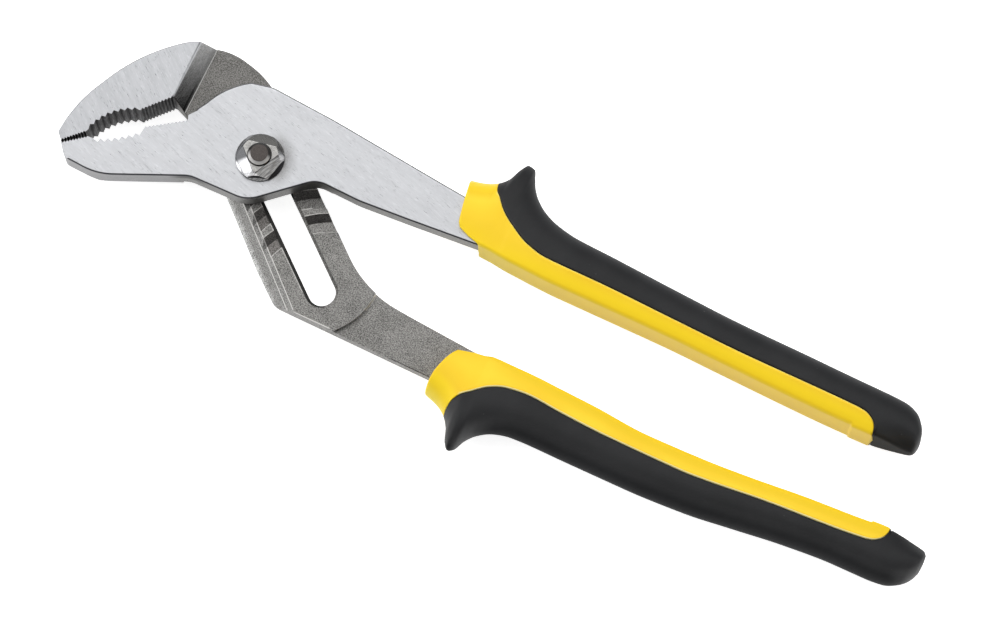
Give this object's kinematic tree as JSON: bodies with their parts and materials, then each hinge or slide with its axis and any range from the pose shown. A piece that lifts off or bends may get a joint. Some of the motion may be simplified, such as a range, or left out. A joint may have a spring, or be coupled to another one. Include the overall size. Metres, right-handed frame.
{
  "type": "water pump pliers",
  "caption": "Adjustable pliers with offset toothed jaws on a sliding pivot bolt in a grooved slot, and long two-colour moulded grips.",
  "frame": {"origin": "on the pivot bolt's axis at the back of its head, which is the resting plane", "axes": "+X along the handles away from the jaws, +Y from the lower handle to the upper one, +Z out of the polished front face"},
  "size_m": [0.2621, 0.0817, 0.0187],
  "materials": {
    "polished_steel": "ground and polished face",
    "forged_steel": "blasted forging, jaw face ground",
    "bolt_steel": "turned",
    "nut_steel": "bright plated",
    "yellow_plastic": "satin hard plastic",
    "black_soft": "matte soft plastic"
  },
  "bodies": {
    "slotted_half": {"slotted_arm": "forged_steel", "lower_grip_core": "yellow_plastic", "lower_grip_cover": "black_soft"},
    "pivot": {"pivot_bolt": "bolt_steel", "pivot_nut": "nut_steel"},
    "front_half": {"front_arm": "polished_steel", "upper_grip_core": "yellow_plastic", "upper_grip_cover": "black_soft"}
  },
  "joints": [
    {"name": "slot_shift", "type": "slide", "parent": "slotted_half", "child": "pivot", "axis": [0.766, -0.6428, 0], "range_m": [0, 0.03]},
    {"name": "jaw_pivot", "type": "hinge", "parent": "pivot", "child": "front_half", "pos_m": [0, 0, 0.0085], "axis": [0, 0, 1], "range_deg": [0, 60]}
  ]
}
